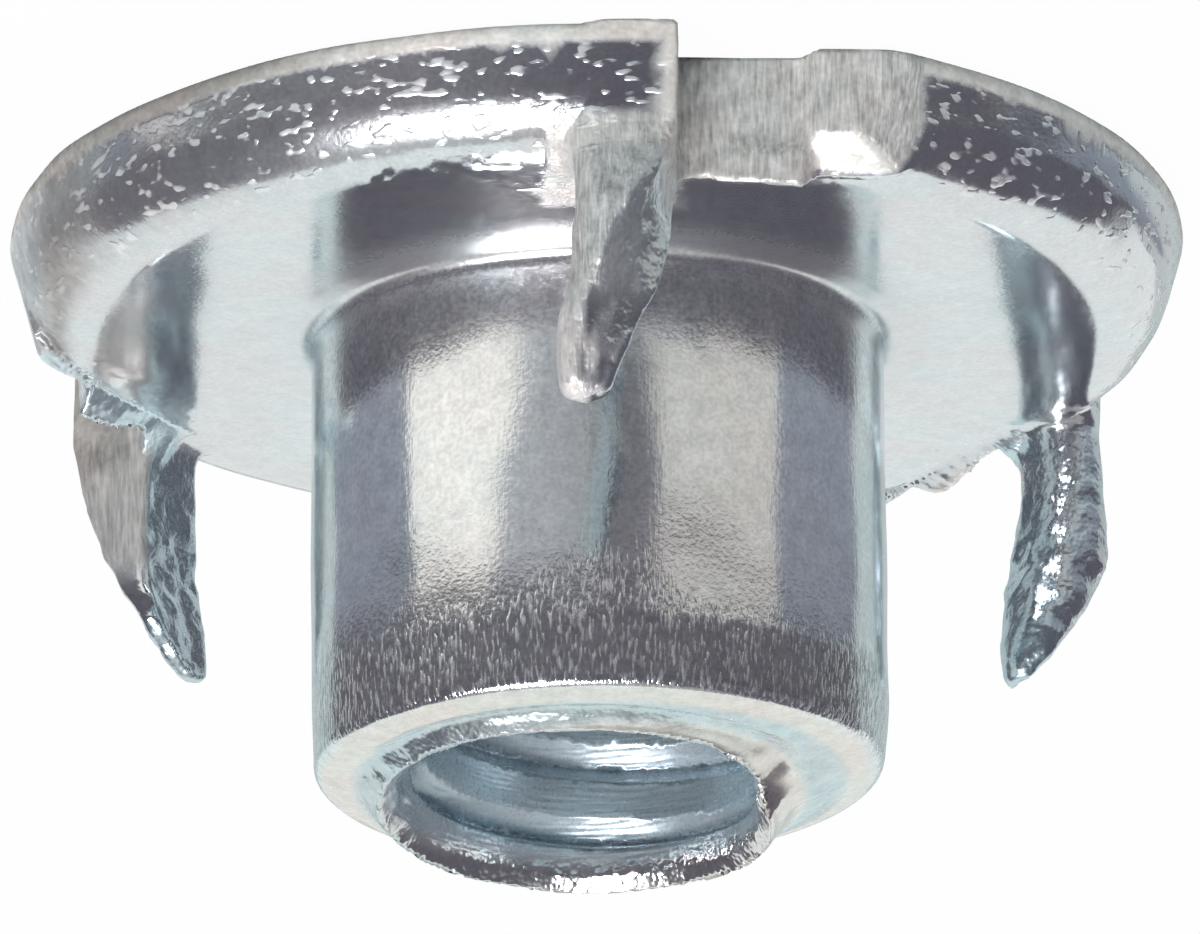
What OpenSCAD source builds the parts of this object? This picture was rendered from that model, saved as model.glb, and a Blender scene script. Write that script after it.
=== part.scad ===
// Three-prong tee nut, pressed from one piece of zinc-plated steel.
//
// The nut lies on the flat outer face of its flange: that face is z = 0 and the
// threaded barrel stands up along +Z, on the axis through the origin.
// Each prong is a slice of the flange's own rim, sheared free along a straight
// cut and turned up on its side, so it leaves a straight-sided notch beside it.
// The slice keeps the rim's curved edge outside and the sheared edge inside.

/* [Flange] */
// Diameter over the round rim
flange_d = 11.9; // [10.6:0.1:16]
// Thickness of the pressed plate
flange_t = 1.2; // [1:0.05:1.9]
// Rounding of the rim on the flat outer face
rim_face_round = 0.25; // [0.1:0.05:0.35]
// Rounding of the rim on the barrel side
rim_barrel_round = 0.6; // [0.15:0.05:0.6]

/* [Barrel] */
// Outside diameter of the barrel
barrel_d = 5.8; // [4.9:0.1:6.6]
// Height from the flange's outer face to the end of the barrel
overall_h = 6.35; // [5.3:0.05:12]
// Fillet where the barrel rises out of the flange
root_fillet = 0.2; // [0.1:0.05:0.5]
// How far below the lip the barrel's straight wall stops
end_drop = 0.7; // [0.5:0.05:1]
// Rounding between the wall and the coned end
end_round = 0.25; // [0.15:0.05:0.4]
// Diameter of the lip that the coned end rises to, round the mouth
lip_d = 4.35; // [4.3:0.05:4.6]

/* [Bore] */
// Diameter over the thread crests (No. 8-32)
bore_d = 3.5; // [2.9:0.05:3.9]
// Diameter of the countersink where the screw leaves, at the barrel's end
mouth_d = 4.15; // [4:0.05:4.25]
// Depth of that countersink
mouth_depth = 0.3; // [0.2:0.05:0.6]
// Diameter of the lead-in chamfer in the flange's outer face
entry_d = 4.3; // [4:0.05:4.6]
// Depth of the lead-in chamfer
entry_depth = 0.35; // [0.2:0.05:0.6]

/* [Prongs] */
// Number of prongs round the flange
prong_count = 3; // [2:1:4]
// How far the first prong and its notch sit out of even spacing, in degrees
first_shift = 3; // [0:0.5:5]
// Width of the rim slice sheared free to make each prong
shear_w = 0.92; // [0.76:0.02:1.2]
// How far the prongs stand up from the flange
prong_len = 2.65; // [2.2:0.05:3.2]
// Thickness of a prong where it leaves the flange
prong_t = 1.05; // [0.95:0.05:1.3]
// Thickness of a prong at its point
tip_t = 0.5; // [0.3:0.05:0.7]
// Radius that blunts the point
tip_r = 0.14; // [0.08:0.02:0.2]
// Lean of the prongs towards the barrel, in degrees
prong_lean = 3; // [0:0.5:9]
// How far the slice is drawn in towards the axis as it turns up
draw_in = 0.05; // [0.05:0.01:0.15]
// Radius of the bend on its outer side, in the notch
bend_out = 0.18; // [0.1:0.01:0.4]
// Fillet on the inner side of the bend
bend_in = 0.2; // [0.1:0.05:0.3]

/* [Notches] */
// Thickness of the tongue dragged out along the edge of the sheared face
tongue_t = 0.28; // [0.15:0.01:0.4]
// How far that tongue stands out at the far end of the notch
tongue_w = 0.34; // [0.1:0.02:0.5]
// Height of the burr thrown up along the cut, on the barrel side
burr_h = 0.22; // [0.1:0.02:0.3]
// Width over which the plate rises to that burr
burr_w = 0.5; // [0.3:0.05:0.6]

/* [Display] */
// Piece to draw

/* [Hidden] */
$fn = 72;
// colour of the plating
zinc = [0.74, 0.76, 0.78];
// facets of the small edge roundings
fine = 28;
flange_r = flange_d / 2;
barrel_r = barrel_d / 2;
// distance from the axis to the straight sheared cut
cut_x = flange_r - shear_w;
// half the length of that cut, from a prong's middle to the end of its notch
cut_half = sqrt(flange_r * flange_r - cut_x * cut_x);
// notch-side and plate-side faces of the prong
notch_y = -prong_t / 2;
plate_y = prong_t / 2;
// line where the bend starts and the notch ends
bend_y = notch_y + bend_out;
// centre of the small arc that blunts the point, tangent to both edges
tip_x = cut_x + tip_r;
tip_z = sqrt((flange_r - tip_r) * (flange_r - tip_r) - tip_x * tip_x);
// height of the point, and of the middle of the round slice it belongs to
top_z = flange_t + prong_len;
slice_z = top_z - tip_z - tip_r;
// where the wall stops, and the turn of the cone's tangent point round the corner rounding
wall_top = overall_h - end_drop;
corner_r = barrel_r - end_round;
lip_r = lip_d / 2;
lip_reach = norm([lip_r - corner_r, end_drop]);
cone_turn = atan2(end_drop, lip_r - corner_r) - acos(end_round / lip_reach);
// overlap that keeps cuts clear of the faces they open
over = 0.5;

// Half section of a round blank from z0 to z1, with its two edges rounded
module blank_section(r, z0, z1, round0, round1) {
    edge = max(round0, round1);
    translate([0, z0]) square([r - edge, z1 - z0]);
    translate([0, z0 + round0]) square([r, z1 - z0 - round0 - round1]);
    if (round0 > 0) {
        translate([0, z0]) square([r - round0, round0]);
        translate([r - round0, z0 + round0]) circle(r = round0, $fn = fine);
    }
    if (round1 > 0) {
        translate([0, z1 - round1]) square([r - round1, round1]);
        translate([r - round1, z1 - round1]) circle(r = round1, $fn = fine);
    }
}

// Half section of the barrel: straight wall, rounded corner, and a cone up to the lip
module barrel_section() {
    polygon([
        [0, 0], [barrel_r, 0], [barrel_r, wall_top],
        [corner_r + end_round * cos(cone_turn), wall_top + end_round * sin(cone_turn)],
        [lip_r, overall_h], [0, overall_h]
    ]);
    translate([corner_r, wall_top]) circle(r = end_round, $fn = fine);
}

// Flange, barrel and the fillet between them as one turned shape
module turned_body() {
    rotate_extrude() blank_section(flange_r, 0, flange_t, rim_face_round, rim_barrel_round);
    rotate_extrude() barrel_section();
    rotate_extrude() difference() {
        translate([barrel_r - over, flange_t]) square([over + root_fillet, root_fillet]);
        translate([barrel_r + root_fillet, flange_t + root_fillet]) circle(r = root_fillet, $fn = fine);
    }
}

// Tapped hole: plain bore over the thread crests, opened at both ends
module bore() {
    translate([0, 0, -over]) cylinder(h = overall_h + 2 * over, d = bore_d);
    slope_in = (entry_d - bore_d) / entry_depth;
    translate([0, 0, -over])
        cylinder(h = entry_depth + over, d1 = entry_d + slope_in * over, d2 = bore_d);
    slope_out = (mouth_d - bore_d) / mouth_depth;
    translate([0, 0, overall_h - mouth_depth])
        cylinder(h = mouth_depth + over, d1 = bore_d, d2 = mouth_d + slope_out * over);
}

// Rise of the plate to the burr along one cut, before the cut trims it
module burr() {
    side = flange_r - rim_barrel_round / 2;
    intersection() {
        rotate([90, 0, 0]) translate([0, 0, -bend_y]) linear_extrude(height = cut_half)
            polygon([
                [cut_x - burr_w, flange_t], [cut_x, flange_t + burr_h],
                [cut_x + over, flange_t + burr_h], [cut_x + over, flange_t - over],
                [cut_x - burr_w, flange_t - over]
            ]);
        cylinder(h = overall_h, r = side);
    }
}

// Straight-sided notch left by one prong, with the thin tongue along its edge
module notch() {
    reach = flange_r + over;
    translate([cut_x, bend_y - reach, -over]) cube([reach, reach, over + flange_t - tongue_t]);
    translate([0, 0, -over]) linear_extrude(height = 2 * over + flange_t)
        polygon([
            [cut_x, bend_y], [cut_x + tongue_w, -cut_half],
            [cut_x + reach, -reach], [cut_x + reach, bend_y]
        ]);
}

// Side view of the turned-up slice, measured from the disc it was cut from
module prong_side() {
    far = flange_r + over;
    intersection() {
        translate([cut_x, -far]) square([far, 2 * far]);
        polygon([
            [cut_x - over, -far], [far, -far], [far, far * tip_z / tip_x],
            [tip_x, tip_z], [cut_x - over, tip_z]
        ]);
    }
    translate([tip_x, tip_z]) circle(r = tip_r, $fn = fine);
}

// The slice of rim stood on its side, keeping the rim's own rounded edge
module turned_slice() {
    far = flange_r + over;
    translate([cut_x - draw_in, 0, 0]) rotate([0, -prong_lean, 0]) translate([-cut_x, 0, slice_z])
    intersection() {
        rotate([90, 0, 0]) rotate_extrude()
            blank_section(flange_r, -plate_y, -notch_y, rim_barrel_round, rim_face_round);
        rotate([90, 0, 0]) translate([0, 0, -far]) linear_extrude(height = 2 * far) prong_side();
    }
}

// End view of the prong: rounded bend at the foot, tapering leg above it
module prong_front() {
    translate([bend_y, 0]) square([plate_y + bend_in - bend_y, flange_t]);
    translate([bend_y, bend_out]) circle(r = bend_out, $fn = fine);
    translate([notch_y, bend_out]) square([prong_t, flange_t - bend_out]);
    polygon([
        [notch_y, flange_t - over], [plate_y, flange_t - over], [plate_y, flange_t],
        [tip_t / 2, top_z], [-tip_t / 2, top_z], [notch_y, flange_t]
    ]);
    difference() {
        translate([plate_y - over / 2, flange_t]) square([over / 2 + bend_in, bend_in]);
        translate([plate_y + bend_in, flange_t + bend_in]) circle(r = bend_in, $fn = fine);
    }
}

// One prong at its place on the rim, pointing along +Z
module prong() {
    intersection() {
        turned_slice();
        rotate([90, 0, 90]) linear_extrude(height = flange_r + over) prong_front();
    }
}

// Direction of prong number i from the axis; the first is near -Y
function prong_turn(i) = -90 + i * 360 / prong_count - (i == 0 ? first_shift : 0);

module tee_nut() {
    color(zinc) difference() {
        union() {
            difference() {
                union() {
                    turned_body();
                    for (i = [0 : prong_count - 1]) rotate([0, 0, prong_turn(i)]) burr();
                }
                for (i = [0 : prong_count - 1]) rotate([0, 0, prong_turn(i)]) notch();
            }
            for (i = [0 : prong_count - 1]) rotate([0, 0, prong_turn(i)]) prong();
        }
        bore();
    }
}

tee_nut();
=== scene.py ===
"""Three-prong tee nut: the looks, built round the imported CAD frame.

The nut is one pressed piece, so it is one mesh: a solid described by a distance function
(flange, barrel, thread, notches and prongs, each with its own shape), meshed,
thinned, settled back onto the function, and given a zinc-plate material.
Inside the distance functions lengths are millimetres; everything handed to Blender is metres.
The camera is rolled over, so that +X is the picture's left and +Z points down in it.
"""
import bpy
import math
import numpy as np
from mathutils import Matrix, Vector


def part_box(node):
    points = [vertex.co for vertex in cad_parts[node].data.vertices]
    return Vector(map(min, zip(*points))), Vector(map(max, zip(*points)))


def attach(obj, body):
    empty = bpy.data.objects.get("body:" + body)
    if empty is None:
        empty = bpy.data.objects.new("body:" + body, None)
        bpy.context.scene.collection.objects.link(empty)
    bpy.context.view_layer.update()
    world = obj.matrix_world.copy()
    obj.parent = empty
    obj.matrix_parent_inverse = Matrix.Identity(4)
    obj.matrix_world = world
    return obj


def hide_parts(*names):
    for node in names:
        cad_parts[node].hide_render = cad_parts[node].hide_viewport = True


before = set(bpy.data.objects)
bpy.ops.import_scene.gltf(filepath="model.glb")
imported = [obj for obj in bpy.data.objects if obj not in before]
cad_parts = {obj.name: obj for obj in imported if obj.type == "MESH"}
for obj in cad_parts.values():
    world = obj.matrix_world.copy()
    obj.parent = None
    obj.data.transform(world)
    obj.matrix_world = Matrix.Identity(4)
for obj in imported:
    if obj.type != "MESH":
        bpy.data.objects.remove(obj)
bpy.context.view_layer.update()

# ---------------------------------------------------------------- sizes, mm
MM = 0.001
NODE = "tee_nut"
NODE_LOW, NODE_HIGH = (np.array(corner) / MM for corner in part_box(NODE))

# directions of the prongs, in degrees from +X
FRONT, LEFT, RIGHT = -93, 30, 150

# the flange: its rim leans in from RIM_WIDEST_Z up, and both of its edges are rounded
FLANGE_R = float(NODE_HIGH[0] - NODE_LOW[0]) / 2
FLANGE_T = 1.2
RIM_DRAFT = math.radians(15)
RIM_WIDEST_Z = 0.2
RIM_OUTER_ROUND = 0.22
RIM_BARREL_ROUND = 0.62
BURRED_ROUND = 0.3

# the straight cut beside each prong: how far out it lies, half its length, and the bend's place
SHEAR_W = 0.92
CUT_U = FLANGE_R - SHEAR_W
CUT_HALF = math.sqrt(FLANGE_R**2 - CUT_U**2)
BEND_V = -0.36

# the burr along each cut: a gentle lead, then a steep slope; the span of the cut it stands on;
# and, for each prong's cut, its height and how ragged it is
BURR_W = 0.17
BURR_LEAD = 0.6
BURR_LEAD_SHARE = 0.3
BURR_SPAN = (-3.3, -2.8, -0.25, 0.1)
BURR_H = {FRONT: 0.17, LEFT: 0.27, RIGHT: 0.17}
BURR_JAG = {FRONT: 0.5, LEFT: 0.3, RIGHT: 0.8}

# the notch: a thin lip at its inner part, and an ear at the rim, set back and chamfered
NOTCH_LIP = 0.1
NOTCH_ROUND = 0.07
EAR_START, EAR_FULL = 0.48, 0.56
EAR_SETBACK = 0.24
CHAMFER_Z = 0.9
CHAMFER_SLOPE = 0.95
CHAMFER_TILT = 0.08
CHAMFER_TILT_V = -2.2

# the barrel, with the fillet at its foot and the taper near its end
BARREL_R = 2.9
FOOT_H = 0.05
FOOT_W = 0.3
FOOT_ROUND = 0.13
TAPER_START_Z = 5.02
TAPER = 0.075
TAPER_LEAN = 0.035
TAPER_EASE = 0.12

# the end of the barrel: its outer corner, then a face that climbs to a torn lip round the mouth,
# with a valley and a thin ridge at these shares of the way in
END_CORNER_Z = 5.8
END_CORNER_R = BARREL_R - 0.15
END_CORNER_ROUND = 0.11
LIP_R = 1.95
LIP_CENTRE_X = 0.26
LIP_SHIFT_START_Z, LIP_SHIFT_END_Z = 5.3, 6.2
VALLEY_PLACE, VALLEY_W = 0.66, 0.16
VALLEY_DEPTH, VALLEY_LEAN = 0.06, 0.03
RIDGE_PLACE, RIDGE_W, RIDGE_H = 0.98, 0.06, 0.03
# height of the lip by direction round the axis, in degrees from +X
LIP_HEIGHTS = [(-90, 5.95), (-50, 5.97), (-10, 6.04), (35, 6.27), (90, 6.41), (150, 6.44),
               (192, 6.38), (204, 6.09), (235, 5.97), (270, 5.95)]

# the bore: thread, chamfer at the flange, and the mouth's flares (depth below the lip, slope)
CREST_R = 1.785
THREAD_PITCH = 25.4 / 32
THREAD_DEPTH = 0.2
THREAD_HALF_W = 0.2
THREAD_PHASE = 0.38
ENTRY_DEPTH, ENTRY_SLOPE = 0.35, 1.15
MOUTH_FLARES = ((0.45, 0.2), (0.15, 0.5))
MOUTH_ROUND = 0.03

# Each prong: stations up its height.
# A station is z, inner and outer face, notch-side and plate-side face, twist in degrees.
PRONGS = {
    FRONT: [(0.0, 5.03, 5.98, -0.50, 0.52, 0), (0.25, 5.03, 5.95, -0.50, 0.52, 0),
            (1.0, 5.03, 5.76, -0.50, 0.52, 2), (1.4, 5.03, 5.84, -0.44, 0.50, 12),
            (1.8, 5.02, 5.92, -0.34, 0.46, 28), (2.2, 5.03, 5.89, -0.25, 0.43, 50),
            (2.5, 5.02, 5.86, -0.18, 0.44, 62), (2.95, 5.02, 5.78, -0.02, 0.56, 72),
            (3.3, 5.04, 5.68, 0.08, 0.64, 78), (3.72, 5.12, 5.54, 0.24, 0.60, 80)],
    LEFT: [(0.0, 5.05, 5.96, -0.52, 0.50, 0), (1.3, 5.08, 6.01, -0.52, 0.50, 0),
           (1.9, 5.13, 5.92, -0.52, 0.58, 0), (2.6, 5.14, 5.64, -0.50, 0.60, 0),
           (2.9, 5.10, 5.47, -0.48, 0.66, 0), (3.3, 5.02, 5.24, -0.42, 0.58, 0),
           (3.82, 4.94, 5.12, 0.20, 0.46, 0)],
    RIGHT: [(0.0, 5.10, 5.90, -0.50, 0.50, 0), (1.3, 5.17, 5.81, -0.50, 0.50, 0),
            (1.8, 5.19, 5.86, -0.50, 0.50, 0), (2.4, 5.09, 5.94, -0.50, 0.50, 0),
            (2.7, 5.03, 5.90, -0.50, 0.50, 0), (3.1, 4.93, 5.70, -0.48, 0.48, 0),
            (3.5, 4.85, 5.40, -0.42, 0.45, 0), (3.8, 4.80, 5.14, -0.30, 0.35, 0),
            (4.15, 4.78, 4.94, -0.16, 0.16, 0)],
}
# roundings of a prong's long edges and its point, and of its bend out of the flange
THIN_EDGE = 0.04
NOTCH_EDGE_ROUND = 0.2
PLATE_EDGE_ROUND = 0.4
INNER_EDGE_ROUND = {FRONT: 0.1, LEFT: 0.1, RIGHT: 0.45}
POINT_ROUND = 0.16
BEND_ROUND_LOW, BEND_ROUND_HIGH = 0.02, 0.2
OUTER_FACE_ROUND = 0.06

# what keeps the slope of each steep field near 1
END_SCALE = 0.85
BORE_SCALE = 0.8
PRONG_SCALE = 0.95

# meshing
GRID_STEP = 0.06
FACE_LIMIT = 170000
WEAR_REACH = 0.15


# ---------------------------------------------------------------- field tools
def smooth_max(a, b, k):
    """Larger of two fields, rounding the edge where they meet over a width of about k."""
    h = np.maximum(k - np.abs(a - b), 0.0) / k
    return np.maximum(a, b) + h * h * k * 0.25


def smooth_min(a, b, k):
    return -smooth_max(-a, -b, k)


def ramp(x, low, high):
    """0 at low and before it, 1 at high and past it, smooth between. Low may be above high."""
    t = np.clip((x - low) / (high - low), 0.0, 1.0)
    return t * t * (3 - 2 * t)


def band(x, start, full, fade, end):
    """1 from full to fade, 0 before start and past end, smooth between."""
    return ramp(x, start, full) * ramp(x, end, fade)


def bell(x, middle, width):
    return np.exp(-((x - middle) / width) ** 2)


def lumps(p, size, seed):
    """Smooth random field from -1 to 1 with bumps about `size` mm across."""
    n = 32
    table = np.random.default_rng(seed).uniform(-1, 1, (n, n, n)).astype(np.float32)
    q = p / size
    cell = np.floor(q).astype(np.int64)
    t = (q - cell).astype(np.float32)
    t = t * t * (3 - 2 * t)
    total = np.zeros(p.shape[:-1], np.float32)
    for corner in np.ndindex(2, 2, 2):
        weight = np.ones_like(total)
        for axis in range(3):
            weight *= t[..., axis] if corner[axis] else 1 - t[..., axis]
        i, j, k = ((cell[..., axis] + corner[axis]) % n for axis in range(3))
        total += weight * table[i, j, k]
    return total


def local_frame(p, turn):
    """Radial, sideways and height coordinates for something at `turn` degrees round the axis."""
    a = math.radians(turn)
    u = p[..., 0] * math.cos(a) + p[..., 1] * math.sin(a)
    v = -p[..., 0] * math.sin(a) + p[..., 1] * math.cos(a)
    return u, v, p[..., 2]


# ---------------------------------------------------------------- the solid
def lip_height(angle):
    turns, heights = zip(*LIP_HEIGHTS)
    return np.interp((np.degrees(angle) + 90) % 360 - 90, turns, heights)


def mouth_radius(p):
    """Distance from the barrel's axis, which shifts sideways towards the mouth."""
    shift = LIP_CENTRE_X * ramp(p[..., 2], LIP_SHIFT_START_Z, LIP_SHIFT_END_Z)
    return np.hypot(p[..., 0] - shift, p[..., 1])


def along_cut(v):
    """0 at the prong's bend, 1 where the straight cut runs out through the rim."""
    return np.clip((BEND_V - v) / (CUT_HALF + BEND_V), 0, 1)


def cut_burr(p, turn):
    """Height of the burr along one cut: ragged, and higher towards the rim."""
    u, v, z = local_frame(p, turn)
    slope = np.clip((u - CUT_U + BURR_W) / BURR_W, 0, 1.2)
    lead = ramp(u, CUT_U - BURR_LEAD, CUT_U)
    edge = (slope + BURR_LEAD_SHARE * lead) * band(v, *BURR_SPAN)
    edge = edge * (0.6 + 0.5 * along_cut(v))
    torn = (np.abs(z - FLANGE_T) < 0.6) & (edge > 0.05)
    jag = 0.25 * lumps(p[torn], 0.3, 21) + 0.16 * lumps(p[torn], 0.09, 22)
    edge[torn] *= 0.9 + BURR_JAG[turn] * jag
    return BURR_H[turn] * edge


def flange(p, rho):
    """Round plate with a leaning rim, rising a little to the barrel and to the burr along each cut."""
    z = p[..., 2]
    foot = np.clip(1 - (rho - BARREL_R) / FOOT_W, 0, 1.2)
    burr = np.maximum(np.max([cut_burr(p, turn) for turn in BURR_H], axis=0), 0)
    top = FLANGE_T + FOOT_H * foot**1.5 + burr
    side = (rho - FLANGE_R) * math.cos(RIM_DRAFT) + (z - RIM_WIDEST_Z) * math.sin(RIM_DRAFT)
    plate = smooth_max(side, z - top, np.where(burr > 0.05, BURRED_ROUND, RIM_BARREL_ROUND))
    return smooth_max(plate, -z, RIM_OUTER_ROUND)


def barrel(p, rho, angle):
    """Straight wall, drawn in a little at its end, and an end face that climbs to a torn lip."""
    z = p[..., 2]
    over = np.maximum(z - TAPER_START_Z, 0.0)
    taper = (TAPER - TAPER_LEAN * np.cos(angle)) * over * over / (over + TAPER_EASE)
    wall = rho - BARREL_R + taper
    rise = np.clip((END_CORNER_R - mouth_radius(p)) / (END_CORNER_R - LIP_R), -1, 1)
    climb = lip_height(angle) - END_CORNER_Z
    valley = bell(rise, VALLEY_PLACE, VALLEY_W) * (VALLEY_DEPTH - VALLEY_LEAN * np.sin(angle))
    ridge = bell(rise, RIDGE_PLACE, RIDGE_W) * RIDGE_H
    end = z - END_CORNER_Z - climb * rise * np.abs(rise) ** 0.4 + valley - ridge
    return smooth_max(wall, end * END_SCALE, END_CORNER_ROUND)


def bore(p, angle):
    """The threaded hole; its grooves run out below the lip and at the flange's chamfer."""
    z = p[..., 2]
    lip = lip_height(angle)
    mouth = CREST_R + sum(np.maximum(z - (lip - depth), 0) * slope for depth, slope in MOUTH_FLARES)
    entry = CREST_R + np.maximum(ENTRY_DEPTH - z, 0) * ENTRY_SLOPE
    turn = z / THREAD_PITCH - angle / (2 * math.pi) + THREAD_PHASE
    off_root = np.abs(turn - np.floor(turn) - 0.5) * THREAD_PITCH
    groove = np.clip(1 - off_root / THREAD_HALF_W, 0, 1) ** 0.9 * THREAD_DEPTH
    groove = groove * (1 - ramp(z, lip - 0.55, lip - 0.4)) * ramp(z, 0.1, 0.4)
    return (mouth_radius(p) - np.maximum(mouth, entry) - groove) * BORE_SCALE


def notch(p, turn):
    """The room a prong's slice left: a straight cut with a lip, and a chamfered ear at the rim."""
    u, v, z = local_frame(p, turn)
    along = along_cut(v)
    ear = ramp(along, EAR_START, EAR_FULL)
    lip = NOTCH_LIP * ramp(along, 0.1, 0.4) * (1 - ear) * ramp(z, 0.8, 1.15)
    above = np.maximum(z - CHAMFER_Z + CHAMFER_TILT * (v - CHAMFER_TILT_V), 0)
    face = CUT_U + EAR_SETBACK * ear + lip - ear * above * CHAMFER_SLOPE
    return np.maximum(face - u, v - BEND_V)


def prong(p, turn, stations):
    """A blade that follows its stations; its edges stay sharper near the bend."""
    u, v, z = local_frame(p, turn)
    heights = [s[0] for s in stations]
    inner, outer, low, high, twist = (
        np.interp(z, heights, [s[i] for s in stations]) for i in range(1, 6))
    u = u - (inner + outer) / 2
    v = v - (low + high) / 2
    c, s = np.cos(np.radians(twist)), np.sin(np.radians(twist))
    u, v = c * u + s * v, c * v - s * u
    half_u, half_v = (outer - inner) / 2, (high - low) / 2
    thin = np.minimum(half_u, half_v)
    stem = 0.3 + 0.7 * ramp(z, 1.0, 1.7)
    sharp = np.clip(thin * 0.8, THIN_EDGE, NOTCH_EDGE_ROUND) * stem
    faces = smooth_max(u - half_u, -v - half_v, sharp)
    faces = smooth_max(faces, v - half_v, np.clip(thin, THIN_EDGE, PLATE_EDGE_ROUND))
    faces = smooth_max(faces, -u - half_u, INNER_EDGE_ROUND[turn])
    return smooth_max(faces * PRONG_SCALE, z - heights[-1], POINT_ROUND)


def nut(p):
    """Signed distance, near enough, from points in mm to the nut's surface."""
    x, y, z = p[..., 0], p[..., 1], p[..., 2]
    rho = np.hypot(x, y)
    angle = np.arctan2(y, x)
    plate = flange(p, rho)
    for turn in PRONGS:
        plate = smooth_max(plate, -notch(p, turn), NOTCH_ROUND)
    solid = smooth_min(plate, barrel(p, rho, angle), FOOT_ROUND)
    bend_round = BEND_ROUND_LOW + BEND_ROUND_HIGH * ramp(z, 0.9, 1.2)
    for turn, stations in PRONGS.items():
        solid = smooth_min(solid, prong(p, turn, stations), bend_round)
    solid = smooth_max(solid, -z, OUTER_FACE_ROUND)
    return smooth_max(solid, -bore(p, angle), MOUTH_ROUND)


def wear(p):
    """Height of the small dents, lumps and fibres that tumbling and shearing left."""
    x, y, z = p[..., 0], p[..., 1], p[..., 2]
    rho = np.hypot(x, y)
    rim = ramp(rho, 5.2, 5.7) * ramp(z, 0.05, 0.25)
    blades = ramp(rho, 4.6, 4.9) * ramp(z, 1.35, 1.8)
    hammered = blades * ramp(z, 1.7, 2.0) * ramp(y, 0, 1)
    fibrous = ramp(z, 1.0, 1.4) * ramp(y, -4.4, -4.7)
    mouth = ramp(z, 5.75, 5.95) * (0.35 + ramp(np.abs(x), 1.4, 2.0)) * ramp(y, 1.6, 0.4)
    height = 0.01 * lumps(p, 0.9, 11)
    # where, how high, squeezed how much in z, how wide, and which seed
    for where, high, squeeze, size, seed in ((rim, 0.005, 1.6, 0.4, 12),
                                             (blades, 0.012, 1, 0.3, 13),
                                             (hammered, 0.022, 1, 0.17, 15),
                                             (fibrous, 0.016, 0.3, 0.11, 17),
                                             (mouth, 0.018, 1, 0.22, 14)):
        height = height + where * high * lumps(p * np.array([1, 1, squeeze]), size, seed)
    return height


def surface(p):
    """The whole field; the wear is worked out only near the surface."""
    value = nut(p)
    near = np.abs(value) < WEAR_REACH
    value[near] -= wear(p[near])
    return value


def gradient(field, p, reach=0.01):
    steps = np.eye(3) * reach
    return np.stack([field(p + s) - field(p - s) for s in steps], -1) / (2 * reach)


# ---------------------------------------------------------------- meshing
def surface_net(field, low, high, step):
    """Quads round the zero surface of a field sampled on a regular grid."""
    counts = np.ceil((high - low) / step).astype(int) + 1
    axes = [low[i] + step * np.arange(counts[i]) for i in range(3)]
    values = np.empty(counts, np.float32)
    for i, x in enumerate(axes[0]):
        grid = np.stack(np.meshgrid([x], axes[1], axes[2], indexing="ij"), -1)
        values[i] = field(grid)[0]
    inside = values < 0
    verts, index = cell_points(values, inside)
    return low + step * verts, cell_quads(inside, index)


def cell_points(values, inside):
    """A point in each grid cell that the surface crosses, and the number of each cell's point."""
    corners = np.array(list(np.ndindex(2, 2, 2)))
    cell_counts = np.array(values.shape) - 1
    hits = np.zeros(cell_counts, np.uint8)
    for c in corners:
        hits += inside[tuple(slice(c[i], cell_counts[i] + c[i]) for i in range(3))]
    cells = np.argwhere((hits > 0) & (hits < 8))
    index = np.full(cell_counts, -1, np.int64)
    index[tuple(cells.T)] = np.arange(len(cells))

    total = np.zeros((len(cells), 3))
    crossings = np.zeros(len(cells))
    for a in corners:
        for axis in range(3):
            if a[axis]:
                continue
            b = a.copy()
            b[axis] = 1
            va = values[tuple((cells + a).T)]
            vb = values[tuple((cells + b).T)]
            cross = (va < 0) != (vb < 0)
            t = np.where(cross, va / np.where(cross, va - vb, 1), 0)
            point = a + np.outer(t, b - a)
            total += np.where(cross[:, None], point, 0)
            crossings += cross
    return cells + total / crossings[:, None], index


def cell_quads(inside, index):
    """A quad round every grid edge that crosses the surface, facing outwards."""
    quads = []
    for axis in range(3):
        b_axis, c_axis = (axis + 1) % 3, (axis + 2) % 3
        lead = [slice(None)] * 3
        lead[axis] = slice(0, -1)
        tail = [slice(None)] * 3
        tail[axis] = slice(1, None)
        here, there = inside[tuple(lead)], inside[tuple(tail)]
        for flip in (False, True):
            edges = np.argwhere((~here & there) if flip else (here & ~there))
            edges = edges[(edges[:, b_axis] > 0) & (edges[:, c_axis] > 0)]
            ring = []
            for db, dc in ((1, 1), (0, 1), (0, 0), (1, 0)):
                q = edges.copy()
                q[:, b_axis] -= db
                q[:, c_axis] -= dc
                ring.append(index[tuple(q.T)])
            quads.append(np.stack(ring[::-1] if flip else ring, -1))
    return np.concatenate(quads)


def settle(field, verts, rounds, most):
    """Move vertices onto the field's zero surface, no further than `most` a round."""
    for _ in range(rounds):
        slope = gradient(field, verts)
        size = np.maximum((slope * slope).sum(-1), 0.05)
        move = -(field(verts) / size)[:, None] * slope
        length = np.linalg.norm(move, axis=-1, keepdims=True)
        verts = verts + move * np.minimum(1, most / np.maximum(length, 1e-9))
    return verts


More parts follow.
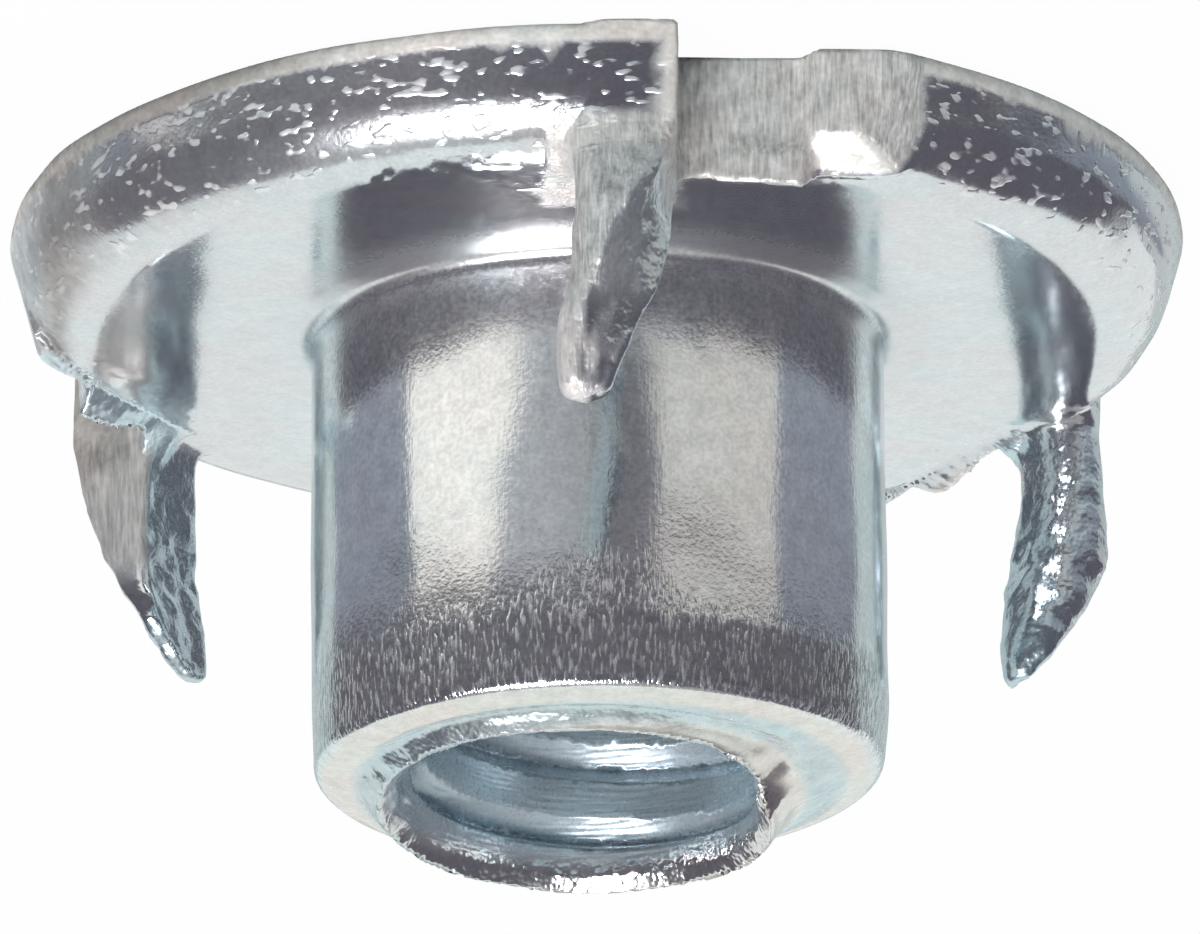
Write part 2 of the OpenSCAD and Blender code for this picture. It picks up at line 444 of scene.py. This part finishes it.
def mesh_object(name, verts, faces):
    mesh = bpy.data.meshes.new(name)
    mesh.vertices.add(len(verts))
    mesh.vertices.foreach_set("co", (verts * MM).astype(np.float32).ravel())
    sides = faces.shape[1]
    mesh.loops.add(len(faces) * sides)
    mesh.loops.foreach_set("vertex_index", faces.astype(np.int32).ravel())
    mesh.polygons.add(len(faces))
    mesh.polygons.foreach_set("loop_start", np.arange(len(faces), dtype=np.int32) * sides)
    mesh.polygons.foreach_set("use_smooth", np.ones(len(faces), bool))
    mesh.update(calc_edges=True)
    mesh.validate()
    obj = bpy.data.objects.new(name, mesh)
    bpy.context.scene.collection.objects.link(obj)
    return obj


def thin_out(obj, limit):
    """Collapse edges where the surface is flat until about `limit` triangles are left."""
    triangles = sum(len(face.vertices) - 2 for face in obj.data.polygons)
    if triangles <= limit:
        return
    modifier = obj.modifiers.new("thin", "DECIMATE")
    modifier.ratio = limit / triangles
    modifier.use_collapse_triangulate = True
    evaluated = obj.evaluated_get(bpy.context.evaluated_depsgraph_get())
    thinned = bpy.data.meshes.new_from_object(evaluated)
    obj.modifiers.clear()
    old = obj.data
    obj.data = thinned
    bpy.data.meshes.remove(old)


def make_nut():
    margin = 3 * GRID_STEP
    verts, quads = surface_net(surface, NODE_LOW - margin, NODE_HIGH + margin, GRID_STEP)
    verts = settle(surface, verts, 2, GRID_STEP / 2)
    obj = mesh_object("tee_nut_body", verts, quads)
    thin_out(obj, FACE_LIMIT)
    verts = np.empty(len(obj.data.vertices) * 3, np.float32)
    obj.data.vertices.foreach_get("co", verts)
    verts = settle(surface, verts.reshape(-1, 3).astype(float) / MM, 2, GRID_STEP / 4)
    obj.data.vertices.foreach_set("co", (verts * MM).astype(np.float32).ravel())
    slope = gradient(surface, verts)
    normals = slope / np.maximum(np.linalg.norm(slope, axis=-1, keepdims=True), 1e-6)
    obj.data.polygons.foreach_set("use_smooth", np.ones(len(obj.data.polygons), bool))
    obj.data.normals_split_custom_set_from_vertices(normals.tolist())
    paint_finish(obj.data, verts, normals)
    obj.data.update()
    return obj


# ---------------------------------------------------------------- zones of the surface
def cut_zones(p, normal, turn):
    """How far each kind of surface round one prong and its notch reaches, 0 to 1 at each vertex.

    sheared and facet are the cut's own face and the ear's chamfer, burr the torn edge above it.
    blade is the whole prong, inner its face towards the barrel, edge its old rim, and twisted
    what the front prong's twist turns to the front. All limits are mm in the prong's own frame,
    or shares of the normal.
    """
    u, v, z = local_frame(p, turn)
    facing_up = normal[:, 2]
    cut = band(u, CUT_U - 0.06, CUT_U - 0.02, CUT_U + 0.3, CUT_U + 0.4)
    cut = cut * band(v, -3.0, -2.9, -0.36, -0.3) * ramp(z, 1.5, 1.3)
    burr = band(u, CUT_U - 0.5, CUT_U - 0.15, CUT_U, CUT_U + 0.1) * ramp(v, 0.0, -0.3)
    root = ramp(u, 3.9, 4.1) * band(v, -0.62, -0.56, 0.72, 0.78)
    blade = root * ramp(z, 1.22, 1.35)
    edge = ramp(u, 5.2, 5.3) * band(v, -0.62, -0.56, -0.36, -0.3)
    return {
        "sheared": cut * ramp(facing_up, 0.5, 0.35),
        "facet": cut * ramp(facing_up, 0.35, 0.5) * ramp(z, 0.5, 0.7),
        "burr": burr * band(z, FLANGE_T - 0.02, FLANGE_T + 0.04, 1.5, 1.6),
        "blade": blade,
        "inner": blade * ramp(u, CUT_U + 0.2, CUT_U + 0.12) * ramp(v, -0.42, -0.36),
        "edge": edge * ramp(z, 2.0, 1.5),
        "twisted": (turn == FRONT) * root * ramp(z, 0.85, 1.0) * ramp(normal[:, 0], -0.35, -0.1),
    }


def zones(p, normal):
    """How far each kind of surface reaches, 0 to 1 at every vertex."""
    x, y, z = p.T
    rho = np.hypot(x, y)
    outward = (x * normal[:, 0] + y * normal[:, 1]) / np.maximum(rho, 0.1)
    found = [cut_zones(p, normal, turn) for turn in PRONGS]
    zone = {name: np.max([each[name] for each in found], axis=0) for name in found[0]}

    # the prongs' outer faces: striped towards the left, hammered towards the right
    outer = zone["blade"] * (1 - zone["inner"])
    zone["flank"] = outer * ramp(x, -1, 1) * ramp(z, 3.0, 2.5)
    zone["hammered"] = outer * ramp(x, 1, -1)
    zone["left_burr"] = zone["burr"] * ramp(x, 0, 1)

    # the rim: rubbed and brown towards its left end, with a pale strip along its outer edge
    zone["rim"] = ramp(rho, 5.25, 5.5) * ramp(z, 1.5, 1.3) * (1 - zone["sheared"])
    zone["rubbed"] = zone["rim"] * (0.25 * ramp(x, -0.5, 2) + 0.75 * ramp(x, 4.7, 5.5))
    zone["strip"] = np.maximum(zone["edge"], zone["rim"] * ramp(z, 0.26, 0.2))
    zone["pitted"] = zone["rim"] * (1 - 0.7 * zone["strip"])
    brown = (zone["strip"] + zone["rubbed"]) * ramp(x, 1.5, 4.5) * (1 - 0.7 * ramp(x, 5.4, 5.8))
    zone["brown_end"] = np.minimum(brown, 1)

    # the barrel: its foot, its wall, and the wall's scratched end, and its sides with a painted teal
    # sheen and shade
    foot = ramp(rho, 3.9, 3.3) * ramp(z, 1.1, 1.15)
    zone["foot"] = foot * np.maximum(ramp(z, 1.4, 1.28), 0.45 * ramp(z, 2.4, 1.8))
    zone["wall"] = band(rho, 2.45, 2.6, 3.0, 3.2) * ramp(outward, 0.3, 0.6)
    front = ramp(np.abs(x), 1.1, 0.2) * (y < 0)
    zone["tip"] = zone["wall"] * ramp(z + 0.5 * front, 4.7, 5.15) * ramp(z, 5.8, 5.72)
    # painted sheen and shade: the wall's sides towards the picture's edges get a darker teal
    zone["side"] = zone["wall"] * ramp(np.abs(x), 2.5, 2.75) * (y < 0.8)

    # the bore, and the end face with its torn mouth and crinkled valley
    # the bore's tone is the film's blue and also painted shade, darker than the plate
    zone["inside"] = ramp(rho, 2.3, 2.2) * ramp(outward, 0.0, -0.3) * ramp(z, 6.2, 5.95)
    zone["end"] = ramp(z, 5.74, 5.8) * (1 - zone["wall"]) * (1 - zone["inside"])
    zone["mouth"] = zone["end"] * ramp(outward, -0.2, -0.4) * ramp(rho, 2.25, 2.15)
    valley = band(rho, 2.0, 2.12, 2.4, 2.55) * ramp(outward, -0.3, -0.1)
    zone["valley"] = zone["end"] * valley

    # what several zones share
    zone["striped"] = np.maximum(zone["sheared"], zone["flank"])
    zone["fibrous"] = np.maximum(zone["strip"], zone["twisted"])
    zone["matt"] = np.maximum(zone["striped"], zone["fibrous"])
    return zone


# What the material reads: the level of each everywhere, and what each zone adds to it.
# The depths are micrometres of relief; the others run from 0 to 1.
PAINTED = {
    "depth_grain": (0.8, {"wall": 0.6, "blade": 1.0}),
    "depth_streaks": (0.0, {"wall": 1.0, "sheared": 14, "flank": 14, "twisted": 12}),
    "depth_torn": (0.0, {"twisted": 16, "inner": 14, "valley": 20, "mouth": 32, "strip": 12,
                         "hammered": 36, "rubbed": 8}),
    "depth_rings": (0.0, {"inside": 8.0}),
    "pits": (0.0, {"pitted": 1.0}),
    "scratches": (0.0, {"tip": 1.0}),
    "gloss_loss": (0.1, {"matt": 0.28, "inner": 0.12, "end": 0.12, "inside": 0.14, "rubbed": 0.26,
                         "mouth": -0.08, "foot": 0.16, "hammered": 0.14, "facet": 0.25}),
    "bare_metal": (1.0, {"matt": -0.65, "facet": -0.6, "inside": -0.35, "rubbed": -0.3,
                         "burr": -0.2}),
    "mottle": (0.1, {"wall": 0.12, "fibrous": 0.3, "end": 0.1, "rubbed": 0.3, "sheared": 0.35}),
    "stripes": (0.0, {"wall": 0.05, "striped": 0.55, "twisted": 0.3}),
    "speckle": (0.35, {"wall": 0.65}),
}

# colours of the plating
PLATE = (0.80, 0.82, 0.84)
WORN = (0.71, 0.69, 0.66)
BEIGE = (0.93, 0.90, 0.85)
BROWN = (0.26, 0.24, 0.225)
CREAM = (0.88, 0.84, 0.78)
# BLUE is the film's tint; in the bore it is darker as painted shade
BLUE = (0.48, 0.60, 0.66)
TEAL = (0.60, 0.74, 0.79)
# zones that differ from PLATE, each laid over the ones before it, and how much of it shows
TONES = (("matt", 0.85, WORN), ("flank", 0.5, BROWN), ("strip", 0.9, BEIGE),
         ("brown_end", 0.8, BROWN), ("end", 0.8, CREAM), ("facet", 0.8, CREAM),
         # side is a painted teal sheen and shade
         ("side", 0.5, TEAL), ("inner", 0.85, TEAL), ("inside", 0.85, BLUE),
         ("valley", 0.8, TEAL), ("mouth", 0.6, PLATE), ("hammered", 0.3, BLUE),
         ("left_burr", 0.7, TEAL))


def paint_finish(mesh, p, normal):
    """Keep what the material reads as one value, or one colour, for each vertex."""
    zone = zones(p, normal)
    for name, (level, shares) in PAINTED.items():
        values = level + sum(share * zone[part] for part, share in shares.items())
        layer = mesh.attributes.new(name, "FLOAT", "POINT")
        layer.data.foreach_set("value", values.astype(np.float32))
    tone = np.tile(PLATE, (len(p), 1))
    for part, share, shade in TONES:
        reach = share * zone[part][:, None]
        tone = tone * (1 - reach) + np.array(shade) * reach
    rgba = np.concatenate([tone, np.ones((len(p), 1))], 1)
    layer = mesh.attributes.new("tone", "FLOAT_COLOR", "POINT")
    layer.data.foreach_set("color", rgba.astype(np.float32).ravel())


# ---------------------------------------------------------------- material
class Graph:
    """Short names for the node arithmetic that the materials are written in."""

    def __init__(self, tree):
        self.tree = tree

    def node(self, kind, **settings):
        made = self.tree.nodes.new(kind)
        for name, value in settings.items():
            setattr(made, name, value)
        return made

    def feed(self, socket, value):
        if isinstance(value, bpy.types.NodeSocket):
            self.tree.links.new(value, socket)
        else:
            socket.default_value = value

    def math(self, operation, a, b=0.0):
        made = self.node("ShaderNodeMath", operation=operation)
        self.feed(made.inputs[0], a)
        self.feed(made.inputs[1], b)
        return made.outputs[0]

    def add(self, *terms):
        total = terms[0]
        for term in terms[1:]:
            total = self.math("ADD", total, term)
        return total

    def times(self, *terms):
        total = terms[0]
        for term in terms[1:]:
            total = self.math("MULTIPLY", total, term)
        return total

    def either_side(self, value):
        """From the 0 to 1 of a noise to -1 to 1."""
        return self.add(self.times(value, 2.0), -1.0)

    def ramp(self, value, low, high):
        made = self.node("ShaderNodeMapRange", interpolation_type="SMOOTHSTEP")
        for socket, setting in zip(made.inputs, (value, low, high)):
            self.feed(socket, setting)
        return made.outputs[0]

    def multiply(self, vector, other):
        made = self.node("ShaderNodeVectorMath", operation="MULTIPLY")
        self.feed(made.inputs[0], vector)
        self.feed(made.inputs[1], other)
        return made.outputs[0]

    def scale(self, vector, factor):
        made = self.node("ShaderNodeVectorMath", operation="SCALE")
        self.feed(made.inputs[0], vector)
        self.feed(made.inputs["Scale"], factor)
        return made.outputs[0]

    def split(self, vector):
        made = self.node("ShaderNodeSeparateXYZ")
        self.feed(made.inputs[0], vector)
        return made.outputs

    def place(self, stretch=(1, 1, 1)):
        """The object's own coordinates in mm, stretched along each axis."""
        per_mm = tuple(share / MM for share in stretch)
        return self.multiply(self.node("ShaderNodeTexCoord").outputs["Object"], per_mm)

    def noise(self, vector, per_mm, detail=1.0, rough=0.6):
        made = self.node("ShaderNodeTexNoise")
        self.feed(made.inputs["Vector"], vector)
        self.feed(made.inputs["Scale"], per_mm)
        self.feed(made.inputs["Detail"], detail)
        self.feed(made.inputs["Roughness"], rough)
        return made.outputs["Fac"]

    def mix(self, factor, a, b):
        made = self.node("ShaderNodeMix", data_type="RGBA")
        for name, value in (("Factor", factor), ("A", a), ("B", b)):
            socket = next(s for s in made.inputs if s.name == name and s.enabled)
            self.feed(socket, value)
        return next(s for s in made.outputs if s.enabled)

    def painted(self, name, output="Fac"):
        return self.node("ShaderNodeAttribute", attribute_name=name).outputs[output]


def new_graph(name):
    material = bpy.data.materials.new(name)
    material.use_nodes = True
    return material, Graph(material.node_tree)


MICROMETRE = 1e-6
DENT_DEPTH = 9.0
SPECK_HEIGHT = 7.0
SCRATCH_SHARE = 0.6
GRAIN_ROUGHNESS = 0.08
SPECK_ROUGHNESS = 0.25
SPECK_METAL_LOSS = -0.45
# tints of the thin passivation film, and of the fine straw-coloured speckle on it
FILM_GREEN = (0.95, 0.98, 0.99, 1)
FILM_VIOLET = (0.98, 0.94, 0.95, 1)
FILM_STRAW = (1.14, 1.12, 1.07, 1)


def zinc_plate():
    """Bright zinc: mirror-like on the drawn faces, pitted on the rim, torn where it was sheared."""
    material, g = new_graph("zinc_plate")
    shader = material.node_tree.nodes["Principled BSDF"]
    place = g.place()

    # patterns, from 0 to 1
    grain = g.noise(place, 22)
    streaks = g.noise(g.place((1, 1, 0.14)), 26)
    torn = g.noise(place, 5.5, detail=2.0)
    rings = g.noise(g.place((0.12, 0.12, 1)), 26, detail=0.0)
    dents = g.noise(place, 1.1, detail=0.0)
    pits = g.ramp(g.noise(g.place((1, 1, 2.2)), 4.6), 0.58, 0.72)
    scratches = g.ramp(g.noise(g.place((1, 1, 0.22)), 30), 0.45, 0.75)
    specks = g.add(g.times(pits, g.painted("pits")),
                   g.times(scratches, g.painted("scratches"), SCRATCH_SHARE))

    # relief, in micrometres
    height = g.add(g.times(dents, DENT_DEPTH), g.times(specks, SPECK_HEIGHT))
    for name, pattern in (("grain", grain), ("streaks", streaks), ("torn", torn), ("rings", rings)):
        height = g.add(height, g.times(g.painted("depth_" + name), pattern))
    bump = g.node("ShaderNodeBump")
    g.feed(bump.inputs["Strength"], 1.0)
    g.feed(bump.inputs["Distance"], MICROMETRE)
    g.feed(bump.inputs["Height"], height)
    g.feed(shader.inputs["Normal"], bump.outputs["Normal"])

    # the specks are duller and paler than the bright plate round them
    rough = g.add(g.painted("gloss_loss"), g.times(grain, GRAIN_ROUGHNESS),
                  g.times(specks, SPECK_ROUGHNESS))
    metal = g.add(g.painted("bare_metal"), g.times(specks, SPECK_METAL_LOSS))
    g.feed(shader.inputs["Roughness"], rough)
    g.feed(shader.inputs["Metallic"], metal)

    # the film drifts between blue-green and violet, with straw speckle
    film = g.mix(g.ramp(g.noise(place, 0.9, rough=0.55), 0.38, 0.62), FILM_GREEN, FILM_VIOLET)
    film = g.mix(g.times(g.ramp(grain, 0.3, 0.7), g.painted("speckle")), film, FILM_STRAW)
    shade = g.add(1.0, g.times(g.painted("mottle"), g.either_side(torn)),
                  g.times(g.painted("stripes"), g.either_side(streaks)))
    colour = g.scale(g.multiply(g.painted("tone", "Color"), film), shade)
    g.feed(shader.inputs["Base Color"], colour)
    return material


# ---------------------------------------------------------------- studio
TABLE_Z = -0.02
TABLE_HALF = 400
TABLE_WHITE = (0.376, 0.408, 0.408, 1)
# painted shade past the far ring, and a grey painted shadow of the nut on each side, for the metal to
# mirror
FAR_PAINTED_SHADE = (0.084, 0.080, 0.092, 1)
SIDE_PAINTED_SHADOW = (0.176, 0.192, 0.224, 1)
# how much of what the camera sees of the table is plain white
CAMERA_WHITE = 0.98
# The table is white inside the near ring and painted dark past the far one, a painted shade that the
# metal mirrors as a dim room, with the painted shades between.
# A ring is where its edge starts and ends, from a point RING_CENTRE in front of the axis.
RING_CENTRE = 0.7
NEAR_RING = (7.2, 8.5)
FAR_RING = (15.3, 16.0)
# Painted light and shade at the picture's left and right, in the order that the barrel's wall mirrors
# them
# from its front round: a strip of painted shadow of the nut, a panel of painted light, which may be cut
# off towards the front, and a grey card that is a painted shadow of the nut cast to that side.
# The edges are degrees round the wall.
LEFT_PAINTED_SHADES = {"sign": 1.0, "strip": (0.280, 0.296, 0.312, 1), "shadow_strip_edge": 14,
               "painted_light_panel": (0.632, 0.624, 0.592, 1), "painted_light_panel_edge": 40.3, "painted_light_panel_end": (5.9, 6.9),
               "side_shadow_edge": 66}
RIGHT_PAINTED_SHADES = {"sign": -1.0, "strip": (0.136, 0.136, 0.152, 1), "shadow_strip_edge": 11.5,
                "painted_light_panel": (0.408, 0.400, 0.380, 1), "painted_light_panel_edge": 37.8, "painted_light_panel_end": None,
                "side_shadow_edge": 62.3}
# how soft the edge of each is, in mm
SHADOW_STRIP_SOFT, PAINTED_LIGHT_PANEL_SOFT, SIDE_SHADOW_SOFT = 0.9, 0.05, 0.2


def past(g, side, front, turn, soft):
    """1 on the part of the table that the barrel's wall mirrors beyond `turn` degrees from its front."""
    a = math.radians(turn)
    line = g.add(g.times(side, math.cos(2 * a)), g.times(front, -math.sin(2 * a)))
    return g.ramp(g.add(line, BARREL_R * math.sin(a)), -soft, soft)


def side_painted_shade(g, x, front, painted_shades):
    """The painted light and shade on one side of the nut, and 1 where the table is behind that side's
    painted shadow.
    """
    side = g.times(x, painted_shades["sign"])
    # the strip is a painted shadow of the nut, and the panel is painted light
    strip, painted_light_panel = painted_shades["strip"], painted_shades["painted_light_panel"]
    colour = g.mix(past(g, side, front, painted_shades["shadow_strip_edge"], SHADOW_STRIP_SOFT), strip, painted_light_panel)
    if painted_shades["painted_light_panel_end"]:
        beyond = g.ramp(g.add(front, g.times(side, -0.55)), *painted_shades["painted_light_panel_end"])
        colour = g.mix(beyond, colour, strip)
    # the grey card is a painted shadow of the nut cast to this side
    colour = g.mix(past(g, side, front, painted_shades["painted_light_panel_edge"], PAINTED_LIGHT_PANEL_SOFT), colour, SIDE_PAINTED_SHADOW)
    return colour, past(g, side, front, painted_shades["side_shadow_edge"], SIDE_SHADOW_SOFT)


def painted_table_shade(g):
    """Painted shades of the table: white, with painted shadow strips, painted light panels and painted
    side shadows before the nut, and painted shade beyond.
    """
    x, y, _ = g.split(g.place())
    front = g.times(y, -1.0)
    left = g.ramp(x, -0.5, 0.5)
    left_colour, left_behind = side_painted_shade(g, x, front, LEFT_PAINTED_SHADES)
    right_colour, right_behind = side_painted_shade(g, x, front, RIGHT_PAINTED_SHADES)
    from_centre = g.add(front, -RING_CENTRE)
    reach = g.math("SQRT", g.add(g.times(x, x), g.times(from_centre, from_centre)))
    colour = g.mix(left, right_colour, left_colour)
    colour = g.mix(g.ramp(reach, *NEAR_RING), TABLE_WHITE, colour)
    # past the far ring the table is painted dark: painted shade
    colour = g.mix(g.ramp(reach, *FAR_RING), colour, FAR_PAINTED_SHADE)
    return g.mix(g.mix(left, right_behind, left_behind), colour, TABLE_WHITE)


def table_material():
    """A matt table that the camera sees as white, with only a trace of the nut's shadow; its painted
    light and shade show in the metal's mirror images and in the light it throws back.
    """
    material, g = new_graph("table")
    g.tree.nodes.clear()
    diffuse = g.node("ShaderNodeBsdfDiffuse")
    g.feed(diffuse.inputs["Color"], painted_table_shade(g))
    white = g.node("ShaderNodeEmission")
    path = g.node("ShaderNodeLightPath")
    mix = g.node("ShaderNodeMixShader")
    g.feed(mix.inputs["Fac"], g.times(path.outputs["Is Camera Ray"], CAMERA_WHITE))
    g.feed(mix.inputs[1], diffuse.outputs["BSDF"])
    g.feed(mix.inputs[2], white.outputs["Emission"])
    g.feed(g.node("ShaderNodeOutputMaterial").inputs["Surface"], mix.outputs["Shader"])
    return material


def table():
    mesh = bpy.data.meshes.new("table")
    corners = [(-1, -1), (1, -1), (1, 1), (-1, 1)]
    points = [(TABLE_HALF * MM * x, TABLE_HALF * MM * y, TABLE_Z * MM) for x, y in corners]
    mesh.from_pydata(points, [], [(0, 1, 2, 3)])
    mesh.materials.append(table_material())
    obj = bpy.data.objects.new("table", mesh)
    bpy.context.scene.collection.objects.link(obj)


def area_light(name, place, target, size, radiance):
    """A square lamp that looks as bright as a white surface does when radiance is 1."""
    data = bpy.data.lights.new(name, "AREA")
    data.shape = "SQUARE"
    data.size = size * MM
    data.energy = radiance * math.pi * data.size**2
    obj = bpy.data.objects.new(name, data)
    obj.location = Vector(place) * MM
    obj.rotation_euler = (Vector(target) * MM - obj.location).to_track_quat("-Z", "Y").to_euler()
    bpy.context.scene.collection.objects.link(obj)
    return obj


def lamps():
    """A soft box in front of the nut, and a lamp behind it that the metal doesn't mirror."""
    nut_middle = (0, 0, 3)
    key = area_light("back_key", (8, 230, 118), nut_middle, size=60, radiance=52)
    key.visible_glossy = False
    area_light("front_softbox", (64, -111, 153), nut_middle, size=100, radiance=13)


ROOM_DIM = (0.12, 0.115, 0.14, 1)
ROOM_OVERHEAD = (0.4, 0.4, 0.4, 1)
ROOM_PALE = (0.83, 0.87, 0.86, 1)


def room():
    """Light comes from a pale backdrop behind the nut; the camera's side of the room is dim."""
    data = bpy.data.worlds.new("room")
    bpy.context.scene.world = data
    data.use_nodes = True
    g = Graph(data.node_tree)
    x, y, z = g.split(g.node("ShaderNodeTexCoord").outputs["Generated"])
    level = g.math("SQRT", g.add(g.times(x, x), g.times(y, y)))
    behind = g.ramp(g.math("DIVIDE", y, level), 0.56, 0.64)
    overhead = g.ramp(z, 0.75, 0.95)
    colour = g.mix(overhead, ROOM_DIM, ROOM_OVERHEAD)
    colour = g.mix(behind, colour, ROOM_PALE)
    seen = g.node("ShaderNodeLightPath").outputs["Is Camera Ray"]
    background = data.node_tree.nodes["Background"]
    g.feed(background.inputs["Color"], g.mix(seen, colour, (1, 1, 1, 1)))


CAMERA_DISTANCE = 20 * FLANGE_R
CAMERA_TILT = math.radians(20.74)
CAMERA_ROLL = math.radians(-0.43)
CAMERA_AIM = (-0.003 * FLANGE_R, 0, 0.318 * FLANGE_R)
CAMERA_LENS = 351
CAMERA_SENSOR = 36


def camera():
    """Long lens, above the nut's front and rolled over: the nut hangs from its flange."""
    middle = Vector((0, 0, FLANGE_T / 2))
    place = middle + CAMERA_DISTANCE * Vector((0, -math.cos(CAMERA_TILT), math.sin(CAMERA_TILT)))
    target = middle + Vector(CAMERA_AIM)
    ahead = (target - place).normalized()
    up = Vector((-1, 0, 0)).cross(ahead).normalized()
    right = ahead.cross(up)
    turned_right = math.cos(CAMERA_ROLL) * right + math.sin(CAMERA_ROLL) * up
    turned_up = math.cos(CAMERA_ROLL) * up - math.sin(CAMERA_ROLL) * right
    data = bpy.data.cameras.new("camera")
    data.sensor_width = CAMERA_SENSOR
    data.lens = CAMERA_LENS
    data.clip_start = 0.01
    obj = bpy.data.objects.new("camera", data)
    pose = Matrix((turned_right, turned_up, -ahead)).transposed().to_4x4()
    pose.translation = place * MM
    obj.matrix_world = pose
    bpy.context.scene.collection.objects.link(obj)
    bpy.context.scene.camera = obj


# ---------------------------------------------------------------- scene
nut_body = make_nut()
nut_body.data.materials.clear()
nut_body.data.materials.append(zinc_plate())
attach(nut_body, "root")
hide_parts(NODE)

camera()
room()
table()
lamps()
bpy.context.scene.view_settings.view_transform = "Standard"
